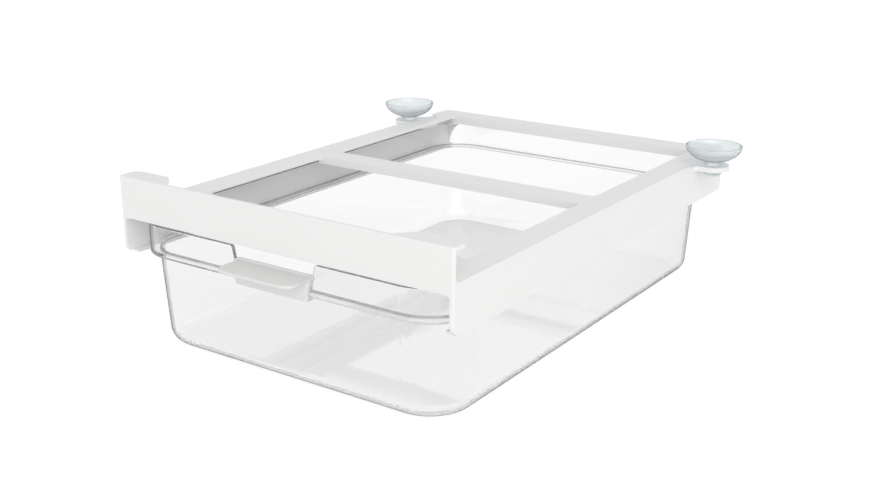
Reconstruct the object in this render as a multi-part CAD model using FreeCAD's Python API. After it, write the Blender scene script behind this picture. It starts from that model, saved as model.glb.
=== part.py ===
"""Clip-on fridge drawer: a white frame that hangs under a shelf, and a clear bin that slides in it.

Millimetres, +Z up, +X to the right, the pull towards -Y. The origin is the middle of the bottom of
the whole object. Every piece is first made with y counted from the front face of the fascia, and is
moved to the origin when it is written.
"""
import FreeCAD, Part
import math
import os

V = FreeCAD.Vector

# Frame
FRAME_WIDTH = 212.0          # over the outer faces of the rails
FRAME_LENGTH = 305.0         # front face of the fascia to the back edge
WALL = 2.4                   # rail sides and back webs
FASCIA_THICK = 1.6
PLATE = 2.0                  # rail tops and cross bars
FLANGE = 1.8                 # ribs that stiffen the cross bars
EDGE_ROUND = 0.5             # moulded edges
FRONT_CORNER = 1.2           # upright front edges of the frame
BACK_CORNER = 4.0            # upright back edges of the frame
SHELF_GAP = 15.0             # thickest shelf that the clip lips take
FASCIA_DROP = 3.8            # fascia below the underside of the rail tops
FASCIA_TOP_ROUND = 1.2
FASCIA_FILLET = 3.0          # between the fascia's back and the rail tops
OPENING_ROUND_X = 4.5        # rounding where the fascia meets the rail sides, across
OPENING_ROUND_Z = 1.2        # and down

# Rails
RAIL_TOP_WIDTH = 16.1
RAIL_DEPTH = 25.4            # rail top to the lower edge of its side
RAIL_LIP_REACH = 6.4         # outer face to the inner edge of the lip that carries the bin
RAIL_LIP = 1.8
RAIL_LIP_START = 3.0         # the lip starts this far behind the fascia's face
RAIL_NOSE = 5.5              # rounding of the side's lower front corner

# Clip lips over the shelf's front edge
CLIP_WIDTH = 34.6
CLIP_DEPTH = 12.4
CLIP_THICK = 2.0
CLIP_OUTER_ROUND = 5.0       # back corner at the outer end
CLIP_INNER_ROUND = 3.0
CLIP_TAPER = 10.5            # the inner end slopes over this width

# Cross bars
FRONT_BAR_DEPTH = 42.0
FRONT_BAR_END_DEPTH = 34.5
FRONT_BAR_SLOPE = 15.0
FRONT_BAR_STEP = 1.2         # its top lies this much under the rail tops
FRONT_RIB_LENGTH = 53.0      # ribs under the inner edges of the rails
FRONT_RIB_SLANT = 3.0
RIB_DEPTH = 4.3              # ribs and bar flanges, from the rail top down
MIDDLE_BAR_FRONT = 144.0
MIDDLE_BAR_WIDTH = 16.1
BACK_BAR_WIDTH = 14.6
BACK_BAR_DEPTH = 5.6
BAY_CORNER = 2.5
WEB_DROP = 6.1               # inner end of each back web, under the plate

# Ears that hold the suction cups
CUP_OFFSET = 7.4             # cup axis outside the rail's face
CUP_FROM_BACK = 36.0
EAR_THICK = 2.9
EAR_ROUND = 9.7
EAR_FRONT_FLARE = 2.7
EAR_EDGE = 0.8
RECESS_RADIUS = 19.2
RECESS_DEPTH = 1.5
RECESS_RIM = 1.6

# Suction cups
CUP_RADIUS = 16.75
CUP_HEIGHT = 11.8            # ear to rim
CUP_BOWL_DEPTH = 10.0        # outside, as if the bowl went on to its axis
CUP_RIM = 0.9
CUP_CORE = 2.4               # thickness in the middle of the bowl
NECK_RADIUS = 5.8            # under the bowl
NECK_FOOT_RADIUS = 4.5       # on the ear
STEM_RADIUS = 4.0
STEM_CLEARANCE = 0.08
HEAD_RADIUS = 5.5
HEAD_HEIGHT = 3.4

# Bin
BIN_HEIGHT = 69.4
BIN_WALL = 2.0
BIN_CORNER = 27.0            # upright corners above the ledge
TUB_CORNER = 25.2            # and below it
BIN_BOTTOM_ROUND = 9.0       # outside; the inside is one wall less
BIN_DRAFT = 0.047            # lower walls lean in, per mm down
LEDGE = 2.1                  # the step that slides on the rail lips
SIDE_GAP = 0.9               # bin to the inside of the rail sides
LIP_GAP = 0.8                # bin's lower wall to the rail lips
RIM_GAP = 0.8                # bin's rim to the fascia above it
RUN_GAP = 0.2                # ledge to the lips that it slides on
BACK_GAP = 0.6               # bin to the back webs
BIN_RIM_ROUND = 0.5
NOTCH_TOP_WIDTH = 53.6
NOTCH_BOTTOM_WIDTH = 47.0
NOTCH_TOP_ROUND = 1.5
NOTCH_BOTTOM_ROUND = 1.0
GATE_RADIUS = 4.5            # moulding gate's dimple under the floor
GATE_FROM_FRONT = 84.0
GATE_DEPTH = 0.5

# Pull
PULL_REACH = 16.0            # tab in front of the fascia's face
PULL_WIDTH = 49.0
PULL_ROOT_WIDTH = 47.5
PULL_ROUND = 6.5
PULL_THICK = 1.7
PULL_ABOVE_LEDGE = 5.9       # underside of the tab over the ledge's top
PULL_GAP = 0.3               # pull to the sides of the notch
PULL_FACE = 2.3              # front plate
PULL_FACE_WIDTH = 46.8
PULL_FACE_ROUND = 0.9
PULL_FACE_DROP = 1.9         # front plate below the ledge
PULL_HOOK_REACH = 2.6        # hook under the ledge, behind the fascia's face
PULL_INSIDE = 0.8            # block in the notch, past the wall's inner face
PULL_LIP = 1.0               # raised back edge of the tab
PULL_LIP_HEIGHT = 0.8

# Levels above the bin's underside, and places
HALF_WIDTH = FRAME_WIDTH / 2
FASCIA_BOTTOM = BIN_HEIGHT + RIM_GAP
PLATE_UNDER = FASCIA_BOTTOM + FASCIA_DROP
RAIL_TOP = PLATE_UNDER + PLATE
CLIP_UNDER = RAIL_TOP + SHELF_GAP
FASCIA_TOP = CLIP_UNDER + CLIP_THICK
RAIL_BOTTOM = RAIL_TOP - RAIL_DEPTH
LEDGE_UNDER = RAIL_BOTTOM + RAIL_LIP + RUN_GAP
LEDGE_TOP = LEDGE_UNDER + LEDGE
RAIL_INNER = HALF_WIDTH - RAIL_TOP_WIDTH
EAR_TOP = RAIL_TOP - RECESS_DEPTH
EAR_UNDER = EAR_TOP - EAR_THICK
CUP_X = HALF_WIDTH + CUP_OFFSET
CUP_Y = FRAME_LENGTH - CUP_FROM_BACK
BIN_HALF = HALF_WIDTH - WALL - SIDE_GAP
BIN_BACK = FRAME_LENGTH - WALL - BACK_GAP
LEDGE_STEP = BIN_HALF - (HALF_WIDTH - RAIL_LIP_REACH - LIP_GAP)
FASCIA_Y = PULL_REACH - (FRAME_LENGTH + PULL_REACH) / 2


def plan(z):
    """Places plan coordinates at height z."""
    return lambda x, y: V(x, y, z)


def front_view(y):
    """Places front view coordinates at depth y."""
    return lambda x, z: V(x, y, z)


def side_view(x):
    """Places side view coordinates at x."""
    return lambda y, z: V(x, y, z)


def corner(before, point, after, radius):
    """Start, middle and end of the arc that rounds one corner of an outline."""
    back = (before - point).normalize()
    ahead = (after - point).normalize()
    half_angle = back.getAngle(ahead) / 2
    along = radius / math.tan(half_angle)
    inward = (back + ahead).normalize()
    middle = point + inward * (radius / math.sin(half_angle) - radius)
    return point + back * along, middle, point + ahead * along


def outline(points, place):
    """Closed face through (u, v, radius) corners, each rounded to its own radius."""
    spots = [place(u, v) for u, v, _ in points]
    arcs = []
    for index, (_, _, radius) in enumerate(points):
        spot = spots[index]
        if radius == 0:
            arcs.append((spot, spot, spot))
        else:
            following = spots[(index + 1) % len(spots)]
            arcs.append(corner(spots[index - 1], spot, following, radius))
    edges = []
    for index, (start, middle, end) in enumerate(arcs):
        previous_end = arcs[index - 1][2]
        if (start - previous_end).Length > 1e-5:
            edges.append(Part.makeLine(previous_end, start))
        if (end - start).Length > 1e-5:
            edges.append(Part.Arc(start, middle, end).toShape())
    return Part.Face(Part.Wire(edges))


def slab(points, z_low, z_high):
    """Plan outline with upright sides."""
    return outline(points, plan(z_low)).extrude(V(0, 0, z_high - z_low))


def box(x_low, x_high, y_low, y_high, z_low, z_high):
    return Part.makeBox(x_high - x_low, y_high - y_low, z_high - z_low, V(x_low, y_low, z_low))


def cylinder(radius, x, y, z_low, z_high):
    return Part.makeCylinder(radius, z_high - z_low, V(x, y, z_low))


def both_sides(shape):
    """The right-hand shape and its mirror image on the left."""
    return [shape, shape.mirror(V(0, 0, 0), V(1, 0, 0))]


def joined(shapes):
    return shapes[0].multiFuse(shapes[1:]).removeSplitter()


def round_rectangle(half_width, y_front, y_back, radius):
    return [(-half_width, y_front, radius), (half_width, y_front, radius),
            (half_width, y_back, radius), (-half_width, y_back, radius)]


# --- frame ---------------------------------------------------------------------------------------

def fascia():
    """Front strip, rounded along its top edges and at its top ends."""
    section = [(0, FASCIA_BOTTOM, EDGE_ROUND), (0, FASCIA_TOP, EDGE_ROUND),
               (FASCIA_THICK, FASCIA_TOP, 0), (FASCIA_THICK, FASCIA_BOTTOM, EDGE_ROUND)]
    strip = outline(section, side_view(-HALF_WIDTH)).extrude(V(FRAME_WIDTH, 0, 0))
    face = [(-HALF_WIDTH, FASCIA_BOTTOM, 0), (HALF_WIDTH, FASCIA_BOTTOM, 0),
            (HALF_WIDTH, FASCIA_TOP, FASCIA_TOP_ROUND), (-HALF_WIDTH, FASCIA_TOP, FASCIA_TOP_ROUND)]
    return strip.common(outline(face, front_view(0)).extrude(V(0, FASCIA_THICK, 0)))


def opening_rounding():
    """Fills the corner between the fascia's lower edge and the right rail's side."""
    inner_face = HALF_WIDTH - WALL
    centre = V(inner_face - OPENING_ROUND_X, 0, FASCIA_BOTTOM - OPENING_ROUND_Z)
    top = centre + V(0, 0, OPENING_ROUND_Z)
    side = centre + V(OPENING_ROUND_X, 0, 0)
    slant = math.sqrt(0.5)
    middle = centre + V(OPENING_ROUND_X * slant, 0, OPENING_ROUND_Z * slant)
    curve = Part.BSplineCurve()
    curve.interpolate([top, middle, side], InitialTangent=V(1, 0, 0), FinalTangent=V(0, 0, -1))
    inside_corner = V(HALF_WIDTH - WALL / 2, 0, FASCIA_BOTTOM)
    edges = [curve.toShape(), Part.makeLine(side, V(inside_corner.x, 0, side.z)),
             Part.makeLine(V(inside_corner.x, 0, side.z), inside_corner + V(0, 0, WALL / 2)),
             Part.makeLine(inside_corner + V(0, 0, WALL / 2), top + V(0, 0, WALL / 2)),
             Part.makeLine(top + V(0, 0, WALL / 2), top)]
    fill = Part.Face(Part.Wire(edges)).extrude(V(0, FASCIA_THICK - EDGE_ROUND, 0))
    return fill.translated(V(0, EDGE_ROUND / 2, 0))


def rail():
    """Right rail: top plate and side, with the lip that carries the bin."""
    inner_face = HALF_WIDTH - WALL
    section = [(HALF_WIDTH, RAIL_BOTTOM, EDGE_ROUND), (HALF_WIDTH, RAIL_TOP, EDGE_ROUND),
               (RAIL_INNER, RAIL_TOP, EDGE_ROUND), (RAIL_INNER, PLATE_UNDER, EDGE_ROUND),
               (inner_face, PLATE_UNDER, EDGE_ROUND), (inner_face, RAIL_BOTTOM, 0)]
    channel = outline(section, front_view(0)).extrude(V(0, FRAME_LENGTH, 0))
    lip_edge = HALF_WIDTH - RAIL_LIP_REACH
    lip = box(lip_edge, inner_face, RAIL_LIP_START, FRAME_LENGTH - WALL / 2,
              RAIL_BOTTOM, RAIL_BOTTOM + RAIL_LIP)
    profile = [(0, RAIL_BOTTOM, RAIL_NOSE), (0, RAIL_TOP, 0),
               (FRAME_LENGTH, RAIL_TOP, 0), (FRAME_LENGTH, RAIL_BOTTOM, 0)]
    side = outline(profile, side_view(RAIL_INNER)).extrude(V(RAIL_TOP_WIDTH, 0, 0))
    return channel.fuse(lip).common(side)


def clip_lip():
    """Right lip, which hooks over the shelf's front edge."""
    inner = HALF_WIDTH - CLIP_WIDTH
    points = [(HALF_WIDTH, FASCIA_THICK / 2, 0), (HALF_WIDTH, CLIP_DEPTH, CLIP_OUTER_ROUND),
              (inner + CLIP_TAPER, CLIP_DEPTH, CLIP_INNER_ROUND),
              (inner, FASCIA_THICK, EDGE_ROUND), (inner, FASCIA_THICK / 2, 0)]
    return slab(points, CLIP_UNDER, FASCIA_TOP)


def fascia_fillet():
    """Rounds the corner between the fascia's back and the right rail's top."""
    middle_y = FASCIA_THICK + FASCIA_FILLET
    middle_z = RAIL_TOP + FASCIA_FILLET
    block = box(RAIL_INNER, HALF_WIDTH, FASCIA_THICK / 2, middle_y, RAIL_TOP - PLATE / 2, middle_z)
    hollow = Part.makeCylinder(FASCIA_FILLET, RAIL_TOP_WIDTH, V(RAIL_INNER, middle_y, middle_z),
                               V(1, 0, 0))
    return block.cut(hollow)


def front_bar():
    """Cross bar behind the fascia, a step below the rail tops."""
    top = RAIL_TOP - FRONT_BAR_STEP
    edge = RAIL_INNER + FLANGE
    slope_end = RAIL_INNER - FRONT_BAR_SLOPE
    start = FASCIA_THICK / 2
    points = [(-edge, start, 0), (edge, start, 0), (edge, FRONT_BAR_END_DEPTH, 0),
              (RAIL_INNER, FRONT_BAR_END_DEPTH, EDGE_ROUND),
              (slope_end, FRONT_BAR_DEPTH, BAY_CORNER), (-slope_end, FRONT_BAR_DEPTH, BAY_CORNER),
              (-RAIL_INNER, FRONT_BAR_END_DEPTH, EDGE_ROUND), (-edge, FRONT_BAR_END_DEPTH, 0)]
    return slab(points, top - PLATE, top)


def front_rib():
    """Rib under the inner edge of the right rail, from the fascia back."""
    low = RAIL_TOP - RIB_DEPTH
    start = FASCIA_THICK / 2
    points = [(start, low, 0), (start, RAIL_TOP - PLATE / 2, 0),
              (FRONT_RIB_LENGTH - FRONT_RIB_SLANT, RAIL_TOP - PLATE / 2, 0),
              (FRONT_RIB_LENGTH, low, 0)]
    return outline(points, side_view(RAIL_INNER)).extrude(V(FLANGE, 0, 0))


def cross_bar(y_front, y_back, depth):
    """Bar between the rails: a plate on two ribs, with rounded corners to the bays."""
    reach = RAIL_INNER + FLANGE
    plate = box(-reach, reach, y_front, y_back, PLATE_UNDER, RAIL_TOP)
    low = RAIL_TOP - depth
    front = box(-reach, reach, y_front, y_front + FLANGE, low, RAIL_TOP)
    back = box(-reach, reach, y_back - FLANGE, y_back, low, RAIL_TOP)
    return plate.multiFuse([front, back])


def bay_corner(y_edge, towards):
    """Rounds one corner between the right rail's inner edge and a cross bar."""
    middle_y = y_edge + towards * BAY_CORNER
    middle_x = RAIL_INNER - BAY_CORNER
    y_low = min(y_edge, middle_y)
    corner_block = box(middle_x, RAIL_INNER, y_low, y_low + BAY_CORNER, PLATE_UNDER, RAIL_TOP)
    return corner_block.cut(cylinder(BAY_CORNER, middle_x, middle_y, PLATE_UNDER, RAIL_TOP))


def back_web():
    """Closes the back of the right rail, with a hollow curve under it."""
    height = PLATE_UNDER - WEB_DROP - RAIL_BOTTOM
    reach = RAIL_TOP_WIDTH - WALL
    ellipse_centre = V(RAIL_INNER, FRAME_LENGTH - WALL, RAIL_BOTTOM)
    web = box(RAIL_INNER, HALF_WIDTH - WALL / 2, FRAME_LENGTH - WALL, FRAME_LENGTH,
              RAIL_BOTTOM, RAIL_TOP - PLATE / 2)
    if height > reach:
        ellipse = Part.Ellipse(ellipse_centre + V(0, 0, height), ellipse_centre + V(reach, 0, 0),
                               ellipse_centre)
    else:
        ellipse = Part.Ellipse(ellipse_centre + V(reach, 0, 0), ellipse_centre + V(0, 0, height),
                               ellipse_centre)
    hollow = Part.Face(Part.Wire([ellipse.toShape()])).extrude(V(0, WALL, 0))
    return web.cut(hollow)


def ear():
    """Right ear outside the rail, round about the cup's axis."""
    flare_back = math.sqrt(RECESS_RADIUS ** 2 - CUP_OFFSET ** 2) - EAR_ROUND
    back_round = min(flare_back, CUP_OFFSET)
    front_round = min(EAR_FRONT_FLARE, CUP_OFFSET)
    inside = HALF_WIDTH - WALL / 2
    tip = CUP_X + EAR_ROUND
    points = [(inside, CUP_Y - EAR_ROUND - EAR_FRONT_FLARE, 0),
              (HALF_WIDTH, CUP_Y - EAR_ROUND - EAR_FRONT_FLARE, 0),
              (HALF_WIDTH, CUP_Y - EAR_ROUND, front_round),
              (tip, CUP_Y - EAR_ROUND, EAR_ROUND), (tip, CUP_Y + EAR_ROUND, EAR_ROUND),
              (HALF_WIDTH, CUP_Y + EAR_ROUND, back_round),
              (HALF_WIDTH, CUP_Y + EAR_ROUND + flare_back, 0),
              (inside, CUP_Y + EAR_ROUND + flare_back, 0)]
    return slab(points, EAR_UNDER, EAR_TOP)


def ear_pad():
    """Thickens the right rail's top under the cup's round recess."""
    disc = cylinder(RECESS_RADIUS + RECESS_RIM, CUP_X, CUP_Y, EAR_UNDER, RAIL_TOP - PLATE / 2)
    rail_zone = box(RAIL_INNER, HALF_WIDTH - WALL / 2, 0, FRAME_LENGTH, EAR_UNDER, RAIL_TOP)
    return disc.common(rail_zone)


def frame():
    parts = [fascia(), front_bar()]
    middle_back = MIDDLE_BAR_FRONT + MIDDLE_BAR_WIDTH
    back_bar_front = FRAME_LENGTH - BACK_BAR_WIDTH
    parts.append(cross_bar(MIDDLE_BAR_FRONT, middle_back, RIB_DEPTH))
    parts.append(cross_bar(back_bar_front, FRAME_LENGTH, BACK_BAR_DEPTH))
    for piece in (opening_rounding(), rail(), clip_lip(), fascia_fillet(), front_rib(), back_web(),
                  ear(), ear_pad(), bay_corner(MIDDLE_BAR_FRONT, -1), bay_corner(middle_back, 1),
                  bay_corner(back_bar_front, -1)):
        parts += both_sides(piece)
    body = joined(parts)
    corners = [(-HALF_WIDTH, 0, FRONT_CORNER), (HALF_WIDTH, 0, FRONT_CORNER),
               (HALF_WIDTH, FRAME_LENGTH, BACK_CORNER), (-HALF_WIDTH, FRAME_LENGTH, BACK_CORNER)]
    outside = slab(corners, RAIL_BOTTOM, FASCIA_TOP)
    ear_zone = box(HALF_WIDTH - WALL, CUP_X + EAR_ROUND, CUP_Y - RECESS_RADIUS, CUP_Y + RECESS_RADIUS,
                   RAIL_BOTTOM, RAIL_TOP)
    body = body.common(outside.multiFuse(both_sides(ear_zone)))
    for side in (-1, 1):
        recess = cylinder(RECESS_RADIUS, side * CUP_X, CUP_Y, EAR_TOP, FASCIA_TOP)
        hole = cylinder(STEM_RADIUS + STEM_CLEARANCE, side * CUP_X, CUP_Y, EAR_UNDER, EAR_TOP)
        body = body.cut(recess.fuse(hole))
    return body.removeSplitter()


# --- suction cups --------------------------------------------------------------------------------

def bowl_curve(rim_centre, radius, depth, end):
    """Quarter of an ellipse in the XZ plane, from the rim down to end."""
    if radius > depth:
        ellipse = Part.Ellipse(rim_centre + V(radius, 0, 0), rim_centre - V(0, 0, depth), rim_centre)
    else:
        ellipse = Part.Ellipse(rim_centre - V(0, 0, depth), rim_centre - V(radius, 0, 0), rim_centre)
    start = ellipse.parameter(rim_centre + V(radius, 0, 0))
    return ellipse.toBSpline(start, ellipse.parameter(end)).toShape()


def suction_cup(side):
    """Soft cup that opens upwards, on a stem with a round head under the ear."""
    rim = V(0, 0, CUP_HEIGHT)
    neck_level = CUP_HEIGHT - CUP_BOWL_DEPTH * math.sqrt(1 - (NECK_RADIUS / CUP_RADIUS) ** 2)
    outer = bowl_curve(rim, CUP_RADIUS, CUP_BOWL_DEPTH, V(NECK_RADIUS, 0, neck_level))
    core = V(0, 0, CUP_HEIGHT - CUP_BOWL_DEPTH + CUP_CORE)
    inner = bowl_curve(rim, CUP_RADIUS - CUP_RIM, CUP_BOWL_DEPTH - CUP_CORE, core)
    seat = RUN_GAP / 2
    under_ear = -EAR_THICK - RUN_GAP
    foot = under_ear - HEAD_HEIGHT
    head_edge = HEAD_HEIGHT / 2
    slant = 1 - math.sqrt(0.5)
    corners = [V(NECK_RADIUS, 0, neck_level), V(NECK_FOOT_RADIUS, 0, 0), V(STEM_RADIUS, 0, 0),
               V(STEM_RADIUS, 0, under_ear), V(HEAD_RADIUS, 0, under_ear),
               V(HEAD_RADIUS, 0, foot + head_edge)]
    head_foot = V(HEAD_RADIUS - head_edge, 0, foot)
    head = Part.Arc(corners[-1], V(HEAD_RADIUS - head_edge * slant, 0, foot + head_edge * slant),
                    head_foot).toShape()
    edges = [outer]
    for start, end in zip(corners, corners[1:]):
        edges.append(Part.makeLine(start, end))
    edges += [head, Part.makeLine(head_foot, V(0, 0, foot)), Part.makeLine(V(0, 0, foot), core),
              inner, Part.makeLine(V(CUP_RADIUS - CUP_RIM, 0, CUP_HEIGHT), V(CUP_RADIUS, 0, CUP_HEIGHT))]
    profile = Part.Face(Part.Wire(edges))
    cup = profile.revolve(V(0, 0, 0), V(0, 0, 1), 360)
    return cup.translated(V(side * CUP_X, CUP_Y, EAR_TOP + seat))


# --- bin and pull --------------------------------------------------------------------------------

def tub(inset, z_low, z_high, bottom_round):
    """Tapered lower part of the bin, or of its inside, with a rounded bottom edge."""
    wires = []
    for z in (z_low, z_high):
        lean = LEDGE_STEP + inset + BIN_DRAFT * (LEDGE_UNDER - z)
        shape = round_rectangle(BIN_HALF - lean, lean, BIN_BACK - lean, TUB_CORNER - inset)
        wires.append(outline(shape, plan(z)).OuterWire)
    solid = Part.makeLoft(wires, True, True)
    bottom = [edge for edge in solid.Edges if edge.BoundBox.ZMax < z_low + 1e-4]
    return solid.makeFillet(bottom_round, bottom)


def notch():
    """Gap in the front wall above the ledge, wider at the top."""
    half_low = NOTCH_BOTTOM_WIDTH / 2
    half_high = NOTCH_TOP_WIDTH / 2
    spread = half_high + NOTCH_TOP_ROUND * 3
    above = BIN_HEIGHT + BIN_WALL
    points = [(-half_low, LEDGE_TOP, NOTCH_BOTTOM_ROUND), (half_low, LEDGE_TOP, NOTCH_BOTTOM_ROUND),
              (half_high, BIN_HEIGHT, NOTCH_TOP_ROUND), (spread, BIN_HEIGHT, 0), (spread, above, 0),
              (-spread, above, 0), (-spread, BIN_HEIGHT, 0), (-half_high, BIN_HEIGHT, NOTCH_TOP_ROUND)]
    return outline(points, front_view(-BIN_WALL)).extrude(V(0, BIN_WALL * 2, 0))


def storage_bin():
    upper = slab(round_rectangle(BIN_HALF, 0, BIN_BACK, BIN_CORNER), LEDGE_UNDER, BIN_HEIGHT)
    inside = round_rectangle(BIN_HALF - BIN_WALL, BIN_WALL, BIN_BACK - BIN_WALL, BIN_CORNER - BIN_WALL)
    upper_inside = slab(inside, LEDGE_TOP, BIN_HEIGHT)
    lower = tub(0, 0, LEDGE_UNDER + LEDGE / 2, BIN_BOTTOM_ROUND)
    lower_inside = tub(BIN_WALL, BIN_WALL, LEDGE_TOP, BIN_BOTTOM_ROUND - BIN_WALL)
    shell = upper.fuse(lower).cut(upper_inside.fuse(lower_inside))
    rim_edges = [edge for edge in shell.Edges if edge.BoundBox.ZMin > BIN_HEIGHT - 1e-4]
    shell = shell.makeFillet(BIN_RIM_ROUND, rim_edges)
    gate = cylinder(GATE_RADIUS, 0, GATE_FROM_FRONT, 0, GATE_DEPTH)
    return shell.cut(notch().fuse(gate)).removeSplitter()


def pull():
    """Tab with a front plate and a hook, which clips over the ledge in the notch."""
    tab_low = LEDGE_TOP + PULL_ABOVE_LEDGE
    tab_high = tab_low + PULL_THICK
    block_back = BIN_WALL + PULL_INSIDE
    plate_low = LEDGE_UNDER - PULL_FACE_DROP
    half_root = PULL_ROOT_WIDTH / 2
    half_tab = PULL_WIDTH / 2
    tab = slab([(-half_tab, -PULL_REACH, PULL_ROUND), (half_tab, -PULL_REACH, PULL_ROUND),
                (half_root, 0, 0), (-half_root, 0, 0)], tab_low, tab_high)
    rim = [edge for edge in tab.Edges if edge.BoundBox.YMin < -PULL_REACH / 2]
    tab = tab.makeFillet(EDGE_ROUND, rim)
    half_plate = PULL_FACE_WIDTH / 2
    plate = slab([(-half_plate, -PULL_FACE, PULL_FACE_ROUND), (half_plate, -PULL_FACE, PULL_FACE_ROUND),
                  (half_plate, 0, 0), (-half_plate, 0, 0)], plate_low, tab_low + PULL_THICK / 2)
    slope = (NOTCH_TOP_WIDTH - NOTCH_BOTTOM_WIDTH) / 2 / (BIN_HEIGHT - LEDGE_TOP)
    half_low = NOTCH_BOTTOM_WIDTH / 2 - PULL_GAP
    block_high = tab_high + PULL_LIP_HEIGHT
    half_high = half_low + slope * (block_high - LEDGE_TOP)
    block_points = [(-half_low, LEDGE_TOP, NOTCH_BOTTOM_ROUND), (half_low, LEDGE_TOP, NOTCH_BOTTOM_ROUND),
                    (half_high, block_high, EDGE_ROUND), (-half_high, block_high, EDGE_ROUND)]
    block = outline(block_points, front_view(-PULL_FACE / 2)).extrude(V(0, block_back + PULL_FACE / 2, 0))
    above_tab = box(-half_tab, half_tab, -PULL_FACE, block_back - PULL_LIP, tab_high, block_high)
    hook = box(-half_low, half_low, -PULL_FACE / 2, PULL_HOOK_REACH, plate_low, LEDGE_UNDER)
    return joined([tab, plate, block.cut(above_tab), hook])


PIECES = {
    "frame": frame,
    "bin": storage_bin,
    "pull": pull,
    "left_suction_cup": lambda: suction_cup(-1),
    "right_suction_cup": lambda: suction_cup(1),
}


def main():
    os.makedirs("parts", exist_ok=True)
    for name, make in PIECES.items():
        shape = make().translated(V(0, FASCIA_Y, 0))
        shape.exportStep("parts/" + name + ".step")
        box_size = shape.BoundBox
        print(name, len(shape.Solids), "solid, valid", shape.isValid(),
              "volume %.0f" % shape.Volume,
              "x %.1f %.1f" % (box_size.XMin, box_size.XMax),
              "y %.1f %.1f" % (box_size.YMin, box_size.YMax),
              "z %.1f %.1f" % (box_size.ZMin, box_size.ZMax))


main()
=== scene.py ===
"""Dresses the clip-on fridge drawer: white frame and pull, clear bin, soft clear suction cups.

Metres, +Z up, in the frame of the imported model. The file is laid out as an add-on and is run as a
"""
import math

import bpy
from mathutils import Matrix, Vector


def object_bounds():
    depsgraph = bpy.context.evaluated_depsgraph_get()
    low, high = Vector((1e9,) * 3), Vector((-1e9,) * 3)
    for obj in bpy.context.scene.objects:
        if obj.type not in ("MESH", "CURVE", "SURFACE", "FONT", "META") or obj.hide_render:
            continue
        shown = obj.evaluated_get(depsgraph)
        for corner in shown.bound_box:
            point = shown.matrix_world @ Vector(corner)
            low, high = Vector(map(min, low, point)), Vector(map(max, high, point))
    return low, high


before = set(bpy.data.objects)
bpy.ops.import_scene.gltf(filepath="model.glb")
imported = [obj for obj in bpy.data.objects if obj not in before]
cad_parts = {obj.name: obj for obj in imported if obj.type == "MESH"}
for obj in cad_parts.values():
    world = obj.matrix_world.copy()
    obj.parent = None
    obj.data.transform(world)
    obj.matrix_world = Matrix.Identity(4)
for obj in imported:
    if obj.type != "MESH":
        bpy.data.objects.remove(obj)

CAD_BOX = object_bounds()

bl_info = {
    "name": "Fridge drawer",
    "version": (1, 0, 0),
    "blender": (4, 5, 0),
    "location": "View3D > Sidebar > Fridge drawer",
    "description": "Finishes and studio for a clip-on fridge drawer",
    "category": "Object",
}

MM = 0.001

# How strongly polypropylene, polystyrene and plasticised vinyl bend light
WHITE_IOR = 1.49
CLEAR_IOR = 1.57
VINYL_IOR = 1.53

# Slow unevenness that moulding leaves: its spacing, and how much of it shows
SINK_SPACING = 45 * MM
# Painted shade: the hollows of the sink marks are painted darker.
SINK_SHADE = 0.03            # darker in the hollows, as a share of the colour
FLOW_SPACING = 30 * MM
POLISH_SPREAD = 0.5          # less or more rough than the tool's polish, as a share of it
HAZE_SPACING = 4 * MM
HAZE_SPREAD = 0.4            # the same for the vinyl's haze
GRAIN_GLOSS = 0.06           # roughness that the white plastic's grain adds or takes

# Painted shade on clear edges, by the share of light that the surface mirrors at the angle it is
# seen
EDGE_STARTS = 0.14           # turns grey from here
EDGE_FULL = 0.45             # greyest from here
TURN_STARTS = 0.3            # painted grey on faces met from inside a wall starts here
MOST_TURNS = 4               # light leaves a wall straight after this many turns inside it

FLOOR_GAP = 0.3 * MM         # keeps the floor clear of the bin's flat bottom
LAMP_PLACE = (1.2, -1.2, 0.93)
CAMERA_PLACE = (0.37675, -0.54741, 0.25427)
CAMERA_TURN = (71.80, 0, 34.87)  # degrees
NEAREST_SEEN = 10 * MM


# --- colours and nodes ---------------------------------------------------------------------------

def linear(hex_colour):
    """Linear RGB of an sRGB hex colour."""
    channels = [int(hex_colour[i:i + 2], 16) / 255 for i in (1, 3, 5)]
    return tuple(c / 12.92 if c <= 0.04045 else ((c + 0.055) / 1.055) ** 2.4 for c in channels)


def add_node(tree, kind, settings=None, inputs=None):
    """Adds a node, sets its properties, and sets or links its inputs."""
    node = tree.nodes.new(kind)
    for name, value in (settings or {}).items():
        setattr(node, name, value)
    for name, value in (inputs or {}).items():
        if isinstance(value, bpy.types.NodeSocket):
            tree.links.new(value, node.inputs[name])
        else:
            node.inputs[name].default_value = value
    return node


def new_material(name):
    """An empty node material with its output node."""
    material = bpy.data.materials.new(name)
    material.use_nodes = True
    tree = material.node_tree
    tree.nodes.clear()
    return material, tree, add_node(tree, "ShaderNodeOutputMaterial")


def dress(node_name, material):
    """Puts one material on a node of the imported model."""
    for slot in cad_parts[node_name].material_slots:
        slot.material = material


# --- settings ------------------------------------------------------------------------------------

class WhiteSettings(bpy.types.PropertyGroup):
    """White polypropylene of the frame and the pull"""
    colour: bpy.props.FloatVectorProperty(
        name="Colour", description="White pigment of the frame",
        subtype="COLOR", size=3, min=0, max=1, default=linear("#F6F6F5"))
    # Painted shade: the pull's white is painted greyer, standing in for the shade that falls on it
    # under its tab.
    pull_shaded_colour: bpy.props.FloatVectorProperty(
        name="Pull colour", description="Slightly greyer white of the pull",
        subtype="COLOR", size=3, min=0, max=1, default=linear("#EAEAE9"))
    roughness: bpy.props.FloatProperty(
        name="Roughness", description="Satin of the moulded surface", subtype="FACTOR",
        min=0, max=1, default=0.42)
    grain: bpy.props.FloatProperty(
        name="Grain", description="Spacing of the moulded grain", subtype="DISTANCE",
        unit="LENGTH", min=0.1 * MM, default=0.6 * MM)


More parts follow.
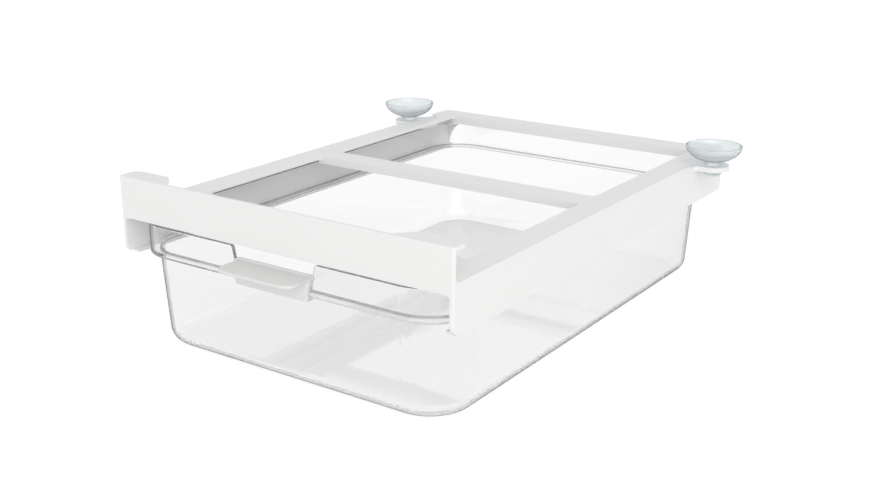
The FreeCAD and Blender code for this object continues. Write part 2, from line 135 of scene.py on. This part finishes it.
class ClearSettings(bpy.types.PropertyGroup):
    """Clear polystyrene of the bin"""
    colour: bpy.props.FloatVectorProperty(
        name="Colour", description="Light that gets through one face", subtype="COLOR", size=3,
        min=0, max=1, default=linear("#FDFDFD"))
    pane: bpy.props.FloatVectorProperty(
        name="Pane", description="Light that falls through a face on what lies behind",
        subtype="COLOR", size=3, min=0, max=1, default=linear("#F7F7F7"))
    tint: bpy.props.FloatVectorProperty(
        name="Tint", description="Colour that a long way through the plastic takes",
        subtype="COLOR", size=3, min=0, max=1, default=linear("#8C9090"))
    density: bpy.props.FloatProperty(
        name="Density", description="How fast the tint builds up, per metre", min=0, default=24.0)
    roughness: bpy.props.FloatProperty(
        name="Roughness", description="Polish of the tool", subtype="FACTOR", min=0, max=1,
        default=0.02)
    # Painted shade: this grey is painted on rims and skimmed faces of the bin.
    edge: bpy.props.FloatVectorProperty(
        name="Edge", description="Grey of rims and edges, where light is trapped", subtype="COLOR",
        size=3, min=0, max=1, default=linear("#8C9092"))
    # How much painted grey the eye sees on faces it skims from outside.
    edge_shade_share: bpy.props.FloatProperty(
        name="Edge loss", description="Share of skimming light that the edges swallow",
        subtype="FACTOR", min=0, max=1, default=0.85)
    # How much painted grey each turn of light inside a wall adds.
    turn_shade_share: bpy.props.FloatProperty(
        name="Turn loss", description="Share lost each time that trapped light is turned back",
        subtype="FACTOR", min=0, max=1, default=0.3)


class VinylSettings(bpy.types.PropertyGroup):
    """Soft clear vinyl of the suction cups"""
    colour: bpy.props.FloatVectorProperty(
        name="Colour", description="Light that gets through one face", subtype="COLOR", size=3,
        min=0, max=1, default=linear("#F4F7F8"))
    pane: bpy.props.FloatVectorProperty(
        name="Pane", description="Light that falls through a face on what lies behind",
        subtype="COLOR", size=3, min=0, max=1, default=linear("#EEF2F4"))
    tint: bpy.props.FloatVectorProperty(
        name="Tint", description="Bluish colour of the soft vinyl", subtype="COLOR", size=3,
        min=0, max=1, default=linear("#E4E9EB"))
    milk: bpy.props.FloatProperty(
        name="Milk", description="Share of light that the cloudy vinyl scatters", subtype="FACTOR",
        min=0, max=1, default=0.3)
    density: bpy.props.FloatProperty(
        name="Density", description="How fast the tint builds up, per metre", min=0, default=50.0)
    roughness: bpy.props.FloatProperty(
        name="Roughness", description="Haze of the soft surface", subtype="FACTOR", min=0, max=1,
        default=0.18)
    # Painted shade: this grey is painted on the lip and skimmed faces of the cups.
    edge: bpy.props.FloatVectorProperty(
        name="Edge", description="Grey of the lip, where light is trapped", subtype="COLOR",
        size=3, min=0, max=1, default=linear("#7E888E"))
    # How much painted grey the eye sees on faces it skims from outside.
    edge_shade_share: bpy.props.FloatProperty(
        name="Edge loss", description="Share of skimming light that the lip swallows",
        subtype="FACTOR", min=0, max=1, default=0.6)
    # How much painted grey each turn of light inside a wall adds.
    turn_shade_share: bpy.props.FloatProperty(
        name="Turn loss", description="Share lost each time that trapped light is turned back",
        subtype="FACTOR", min=0, max=1, default=0.1)


class StageSettings(bpy.types.PropertyGroup):
    """Floor, light and camera"""
    floor_size: bpy.props.FloatProperty(
        name="Floor size", description="Side of the square floor", subtype="DISTANCE",
        unit="LENGTH", min=1, default=40.0)
    sky_level: bpy.props.FloatProperty(
        name="Sky level", description="Light from the horizon", min=0, default=0.97)
    zenith_level: bpy.props.FloatProperty(
        name="Zenith level", description="Light from straight above", min=0, default=0.5)
    table_colour: bpy.props.FloatVectorProperty(
        name="Table colour", description="Grey of the table when it doesn't glow",
        subtype="COLOR", size=3, min=0, max=1, default=linear("#9A9A9A"))
    table_level: bpy.props.FloatProperty(
        name="Table level", description="Light that the table gives", min=0, default=0.5)
    table_white: bpy.props.FloatProperty(
        name="Table white", description="Glow of the table as it is seen", min=0, default=0.79)
    lamp_level: bpy.props.FloatProperty(
        name="Lamp level", description="Power of the soft box", subtype="POWER", unit="POWER",
        min=0, default=12.8)
    lamp_size: bpy.props.FloatProperty(
        name="Lamp size", description="Side of the square soft box", subtype="DISTANCE",
        unit="LENGTH", min=0, default=1.8)
    lens: bpy.props.FloatProperty(
        name="Lens", description="Focal length in millimetres on a 36 mm sensor", unit="CAMERA",
        min=1, default=49.44)


class DrawerSettings(bpy.types.PropertyGroup):
    """All settings of the drawer and its studio"""
    white: bpy.props.PointerProperty(type=WhiteSettings, name="White plastic")
    clear: bpy.props.PointerProperty(type=ClearSettings, name="Clear plastic")
    vinyl: bpy.props.PointerProperty(type=VinylSettings, name="Soft vinyl")
    stage: bpy.props.PointerProperty(type=StageSettings, name="Studio")


# --- materials -----------------------------------------------------------------------------------

def painted_edge_shade(tree, clear, ior, normal, settings):
    """Painted shade: greys what the eye skims from outside, and a little each time light turns back
    inside, standing in for the dark that real clear rims show.
    """
    mirrored = add_node(tree, "ShaderNodeFresnel", inputs={"IOR": ior, "Normal": normal})
    first = add_node(tree, "ShaderNodeMath", {"operation": "LESS_THAN"}, {
        0: add_node(tree, "ShaderNodeLightPath").outputs["Ray Depth"], 1: 0.5})
    most = add_node(tree, "ShaderNodeMath", {"operation": "MULTIPLY"}, {
        0: first.outputs["Value"], 1: settings.edge_shade_share})
    skimming = add_node(tree, "ShaderNodeMapRange", inputs={
        "Value": mirrored.outputs["Fac"], "From Min": EDGE_STARTS, "From Max": EDGE_FULL,
        "To Max": most.outputs["Value"]})
    turned = add_node(tree, "ShaderNodeMapRange", inputs={
        "Value": mirrored.outputs["Fac"], "From Min": TURN_STARTS,
        "To Max": settings.turn_shade_share})
    share = add_node(tree, "ShaderNodeMix", inputs={
        "Factor": add_node(tree, "ShaderNodeNewGeometry").outputs["Backfacing"],
        "A": skimming.outputs["Result"], "B": turned.outputs["Result"]})
    # Painted shade: a grey diffuse shader mixed over the clear one.
    grey = add_node(tree, "ShaderNodeBsdfDiffuse", inputs={"Color": (*settings.edge, 1.0)})
    return add_node(tree, "ShaderNodeMixShader", inputs={
        "Fac": share.outputs["Result"], 1: clear, 2: grey.outputs["BSDF"]}).outputs["Shader"]


def passes_light(tree, clear, pane_colour):
    """The clear shader for the eye, and a plain pane for light on its way to what lies behind.

    Light that has been turned MOST_TURNS times inside a wall leaves it straight too, as if it had
    found its way out.
    """
    path = add_node(tree, "ShaderNodeLightPath")
    lighting = add_node(tree, "ShaderNodeMath", {"operation": "MAXIMUM"}, {
        0: path.outputs["Is Shadow Ray"], 1: path.outputs["Is Diffuse Ray"]})
    turned = add_node(tree, "ShaderNodeMath", {"operation": "GREATER_THAN"}, {
        0: path.outputs["Ray Depth"], 1: MOST_TURNS + 0.5})
    straight = add_node(tree, "ShaderNodeMath", {"operation": "MAXIMUM"}, {
        0: lighting.outputs["Value"], 1: turned.outputs["Value"]})
    pane = add_node(tree, "ShaderNodeBsdfTransparent", inputs={"Color": (*pane_colour, 1.0)})
    return add_node(tree, "ShaderNodeMixShader", inputs={
        "Fac": straight.outputs["Value"], 1: clear, 2: pane.outputs["BSDF"]}).outputs["Shader"]


def white_polypropylene(name, colour, settings):
    """Injection-moulded polypropylene, white.

    The pigment scatters nearly all light, and the tool leaves a satin skin with a fine grain, drawn
    coarser than the real one so that it shows. Slow sink marks bend the sheen a little, and their
    hollows carry a little painted shade.
    """
    material, tree, output = new_material(name)
    place = add_node(tree, "ShaderNodeTexCoord").outputs["Object"]
    grain = add_node(tree, "ShaderNodeTexNoise", inputs={
        "Vector": place, "Scale": 1 / settings.grain, "Detail": 3.0, "Roughness": 0.6})
    sink = add_node(tree, "ShaderNodeTexNoise", inputs={
        "Vector": place, "Scale": 1 / SINK_SPACING, "Detail": 1.0})
    # Painted shade: the colour is darker where the sink-mark bump is low.
    shade = add_node(tree, "ShaderNodeMapRange", inputs={
        "Value": sink.outputs["Fac"], "To Min": 1 - SINK_SHADE, "To Max": 1.0})
    shaded = add_node(tree, "ShaderNodeVectorMath", {"operation": "SCALE"}, {
        0: tuple(colour), "Scale": shade.outputs["Result"]})
    roughness = add_node(tree, "ShaderNodeMapRange", inputs={
        "Value": grain.outputs["Fac"],
        "To Min": settings.roughness - GRAIN_GLOSS, "To Max": settings.roughness + GRAIN_GLOSS})
    fine = add_node(tree, "ShaderNodeBump", inputs={
        "Strength": 0.12, "Distance": 0.02 * MM, "Height": grain.outputs["Fac"]})
    wavy = add_node(tree, "ShaderNodeBump", inputs={
        "Strength": 0.3, "Distance": 0.1 * MM, "Height": sink.outputs["Fac"],
        "Normal": fine.outputs["Normal"]})
    skin = add_node(tree, "ShaderNodeBsdfPrincipled", inputs={
        "Base Color": shaded.outputs["Vector"], "Roughness": roughness.outputs["Result"],
        "IOR": WHITE_IOR, "Normal": wavy.outputs["Normal"]})
    tree.links.new(skin.outputs["BSDF"], output.inputs["Surface"])
    return material


def clear_polystyrene(settings):
    """Injection-moulded polystyrene, clear.

    Faces are polished and nearly invisible. Light that runs along a wall or a rim goes a long way
    through the plastic and is tinted, and the grey edges are painted shade, standing in for the
    dark that real rims show. Flow from the gate leaves the surface very slightly wavy.
    """
    material, tree, output = new_material("clear_polystyrene")
    place = add_node(tree, "ShaderNodeTexCoord").outputs["Object"]
    flow = add_node(tree, "ShaderNodeTexNoise", inputs={
        "Vector": place, "Scale": 1 / FLOW_SPACING, "Detail": 1.0})
    polish = add_node(tree, "ShaderNodeMapRange", inputs={
        "Value": flow.outputs["Fac"],
        "To Min": settings.roughness * (1 - POLISH_SPREAD),
        "To Max": settings.roughness * (1 + POLISH_SPREAD)})
    wavy = add_node(tree, "ShaderNodeBump", inputs={
        "Strength": 0.2, "Distance": 0.02 * MM, "Height": flow.outputs["Fac"]})
    skin = add_node(tree, "ShaderNodeBsdfPrincipled", inputs={
        "Base Color": (*settings.colour, 1.0), "Roughness": polish.outputs["Result"],
        "IOR": CLEAR_IOR, "Transmission Weight": 1.0, "Normal": wavy.outputs["Normal"]})
    edged = painted_edge_shade(tree, skin.outputs["BSDF"], CLEAR_IOR, wavy.outputs["Normal"], settings)
    depth = add_node(tree, "ShaderNodeVolumeAbsorption", inputs={
        "Color": (*settings.tint, 1.0), "Density": settings.density})
    surface = passes_light(tree, edged, settings.pane)
    tree.links.new(surface, output.inputs["Surface"])
    tree.links.new(depth.outputs["Volume"], output.inputs["Volume"])
    return material


def soft_vinyl(settings):
    """Plasticised vinyl, clear with a blue cast.

    Soft and a little hazy, with a wet sheen. The thick base of a cup looks bluer than its lip.
    """
    material, tree, output = new_material("soft_clear_vinyl")
    place = add_node(tree, "ShaderNodeTexCoord").outputs["Object"]
    haze = add_node(tree, "ShaderNodeTexNoise", inputs={
        "Vector": place, "Scale": 1 / HAZE_SPACING, "Detail": 2.0})
    roughness = add_node(tree, "ShaderNodeMapRange", inputs={
        "Value": haze.outputs["Fac"],
        "To Min": settings.roughness * (1 - HAZE_SPREAD),
        "To Max": settings.roughness * (1 + HAZE_SPREAD)})
    soft = add_node(tree, "ShaderNodeBump", inputs={
        "Strength": 0.2, "Distance": 0.03 * MM, "Height": haze.outputs["Fac"]})
    skin = add_node(tree, "ShaderNodeBsdfPrincipled", inputs={
        "Base Color": (*settings.colour, 1.0), "Roughness": roughness.outputs["Result"],
        "IOR": VINYL_IOR, "Transmission Weight": 1 - settings.milk,
        "Normal": soft.outputs["Normal"]})
    depth = add_node(tree, "ShaderNodeVolumeAbsorption", inputs={
        "Color": (*settings.tint, 1.0), "Density": settings.density})
    edged = painted_edge_shade(tree, skin.outputs["BSDF"], VINYL_IOR, soft.outputs["Normal"], settings)
    surface = passes_light(tree, edged, settings.pane)
    tree.links.new(surface, output.inputs["Surface"])
    tree.links.new(depth.outputs["Volume"], output.inputs["Volume"])
    return material


# --- studio --------------------------------------------------------------------------------------

def shows_background(tree):
    """1 for rays that should meet the white background: straight, mirrored or bent by glass."""
    path = add_node(tree, "ShaderNodeLightPath")
    seen = add_node(tree, "ShaderNodeMath", {"operation": "MAXIMUM"}, {
        0: path.outputs["Is Camera Ray"], 1: path.outputs["Is Glossy Ray"]})
    return add_node(tree, "ShaderNodeMath", {"operation": "MAXIMUM"}, {
        0: seen.outputs["Value"], 1: path.outputs["Is Transmission Ray"]}).outputs["Value"]


def studio_world(settings):
    """Soft light, brighter from the horizon than from above, behind a white background."""
    world = bpy.data.worlds.new("studio")
    world.use_nodes = True
    tree = world.node_tree
    tree.nodes.clear()
    direction = add_node(tree, "ShaderNodeTexCoord").outputs["Generated"]
    height = add_node(tree, "ShaderNodeSeparateXYZ", inputs={"Vector": direction}).outputs["Z"]
    level = add_node(tree, "ShaderNodeMapRange", inputs={
        "Value": height, "To Min": settings.sky_level, "To Max": settings.zenith_level})
    light = add_node(tree, "ShaderNodeBackground", inputs={
        "Color": (1, 1, 1, 1), "Strength": level.outputs["Result"]})
    white = add_node(tree, "ShaderNodeBackground", inputs={"Color": (1, 1, 1, 1), "Strength": 1.0})
    mixed = add_node(tree, "ShaderNodeMixShader", inputs={
        "Fac": shows_background(tree), 1: light.outputs[0], 2: white.outputs[0]})
    add_node(tree, "ShaderNodeOutputWorld", inputs={"Surface": mixed.outputs[0]})
    bpy.context.scene.world = world


def white_floor(settings):
    """Opal light table: it glows by itself, and the rest of its white comes from the studio."""
    material, tree, output = new_material("opal_acrylic")
    opal = add_node(tree, "ShaderNodeBsdfDiffuse", inputs={
        "Color": (*settings.table_colour, 1.0)})
    level = add_node(tree, "ShaderNodeMapRange", inputs={
        "Value": shows_background(tree), "To Min": settings.table_level,
        "To Max": settings.table_white})
    glow = add_node(tree, "ShaderNodeEmission", inputs={
        "Color": (1, 1, 1, 1), "Strength": level.outputs["Result"]})
    lit = add_node(tree, "ShaderNodeAddShader", inputs={0: opal.outputs[0], 1: glow.outputs[0]})
    tree.links.new(lit.outputs[0], output.inputs["Surface"])
    return material


# --- operators -----------------------------------------------------------------------------------

class DRAWER_OT_frame(bpy.types.Operator):
    """Finishes the frame in white plastic"""
    bl_idname = "drawer.frame"
    bl_label = "Frame"

    def execute(self, context):
        settings = context.scene.fridge_drawer.white
        dress("frame", white_polypropylene("white_polypropylene", settings.colour, settings))
        return {"FINISHED"}


class DRAWER_OT_pull(bpy.types.Operator):
    """Finishes the pull in white plastic painted greyer, as painted shade for the shade under its
    tab
    """
    bl_idname = "drawer.pull"
    bl_label = "Pull"

    def execute(self, context):
        settings = context.scene.fridge_drawer.white
        # Painted shade: the greyer white stands in for the shade under the pull's tab.
        dress("pull", white_polypropylene(
            "pull_painted_shade_white", settings.pull_shaded_colour, settings))
        return {"FINISHED"}


class DRAWER_OT_bin(bpy.types.Operator):
    """Finishes the bin in clear plastic"""
    bl_idname = "drawer.bin"
    bl_label = "Bin"

    def execute(self, context):
        dress("bin", clear_polystyrene(context.scene.fridge_drawer.clear))
        return {"FINISHED"}


class DRAWER_OT_suction_cups(bpy.types.Operator):
    """Finishes the suction cups in soft clear vinyl"""
    bl_idname = "drawer.suction_cups"
    bl_label = "Suction cups"

    def execute(self, context):
        material = soft_vinyl(context.scene.fridge_drawer.vinyl)
        dress("left_suction_cup", material)
        dress("right_suction_cup", material)
        return {"FINISHED"}


class DRAWER_OT_stage(bpy.types.Operator):
    """Adds the floor, the light and the camera"""
    bl_idname = "drawer.stage"
    bl_label = "Studio"

    def execute(self, context):
        settings = context.scene.fridge_drawer.stage
        bpy.ops.object.select_all(action="DESELECT")
        bpy.ops.mesh.primitive_plane_add(size=settings.floor_size, location=(0, 0, -FLOOR_GAP))
        floor = context.active_object
        floor.name = "floor"
        floor.data.materials.append(white_floor(settings))
        studio_world(settings)
        lamp = bpy.data.objects.new("soft_box", bpy.data.lights.new("soft_box", "AREA"))
        lamp.data.size = settings.lamp_size
        lamp.data.energy = settings.lamp_level
        lamp.visible_camera = False
        lamp.location = LAMP_PLACE
        centre = (CAD_BOX[0] + CAD_BOX[1]) / 2
        lamp.rotation_euler = (centre - lamp.location).to_track_quat("-Z", "Y").to_euler()
        context.scene.collection.objects.link(lamp)
        camera = bpy.data.objects.new("camera", bpy.data.cameras.new("camera"))
        camera.data.lens = settings.lens
        camera.data.clip_start = NEAREST_SEEN
        camera.location = CAMERA_PLACE
        camera.rotation_euler = [math.radians(angle) for angle in CAMERA_TURN]
        context.scene.collection.objects.link(camera)
        context.scene.camera = camera
        context.scene.view_settings.view_transform = "Standard"
        return {"FINISHED"}


class DRAWER_PT_sidebar(bpy.types.Panel):
    """Lists the steps in the 3D view's sidebar"""
    bl_idname = "DRAWER_PT_sidebar"
    bl_label = "Fridge drawer"
    bl_space_type = "VIEW_3D"
    bl_region_type = "UI"
    bl_category = "Fridge drawer"

    def draw(self, context):
        for operator in OPERATORS:
            self.layout.operator(operator.bl_idname)


SETTINGS = (WhiteSettings, ClearSettings, VinylSettings, StageSettings, DrawerSettings)
OPERATORS = (
    DRAWER_OT_stage, DRAWER_OT_frame, DRAWER_OT_pull, DRAWER_OT_bin, DRAWER_OT_suction_cups)


def register():
    """Adds the settings, the operators and the sidebar to Blender."""
    for group in SETTINGS:
        bpy.utils.register_class(group)
    bpy.types.Scene.fridge_drawer = bpy.props.PointerProperty(type=DrawerSettings)
    for item in (*OPERATORS, DRAWER_PT_sidebar):
        bpy.utils.register_class(item)


def unregister():
    """Takes them out again."""
    for item in (DRAWER_PT_sidebar, *reversed(OPERATORS)):
        bpy.utils.unregister_class(item)
    del bpy.types.Scene.fridge_drawer
    for group in reversed(SETTINGS):
        bpy.utils.unregister_class(group)


def main():
    """Runs every step in order."""
    register()
    bpy.ops.drawer.stage()
    bpy.ops.drawer.frame()
    bpy.ops.drawer.pull()
    bpy.ops.drawer.bin()
    bpy.ops.drawer.suction_cups()


if __name__ == "__main__":
    main()
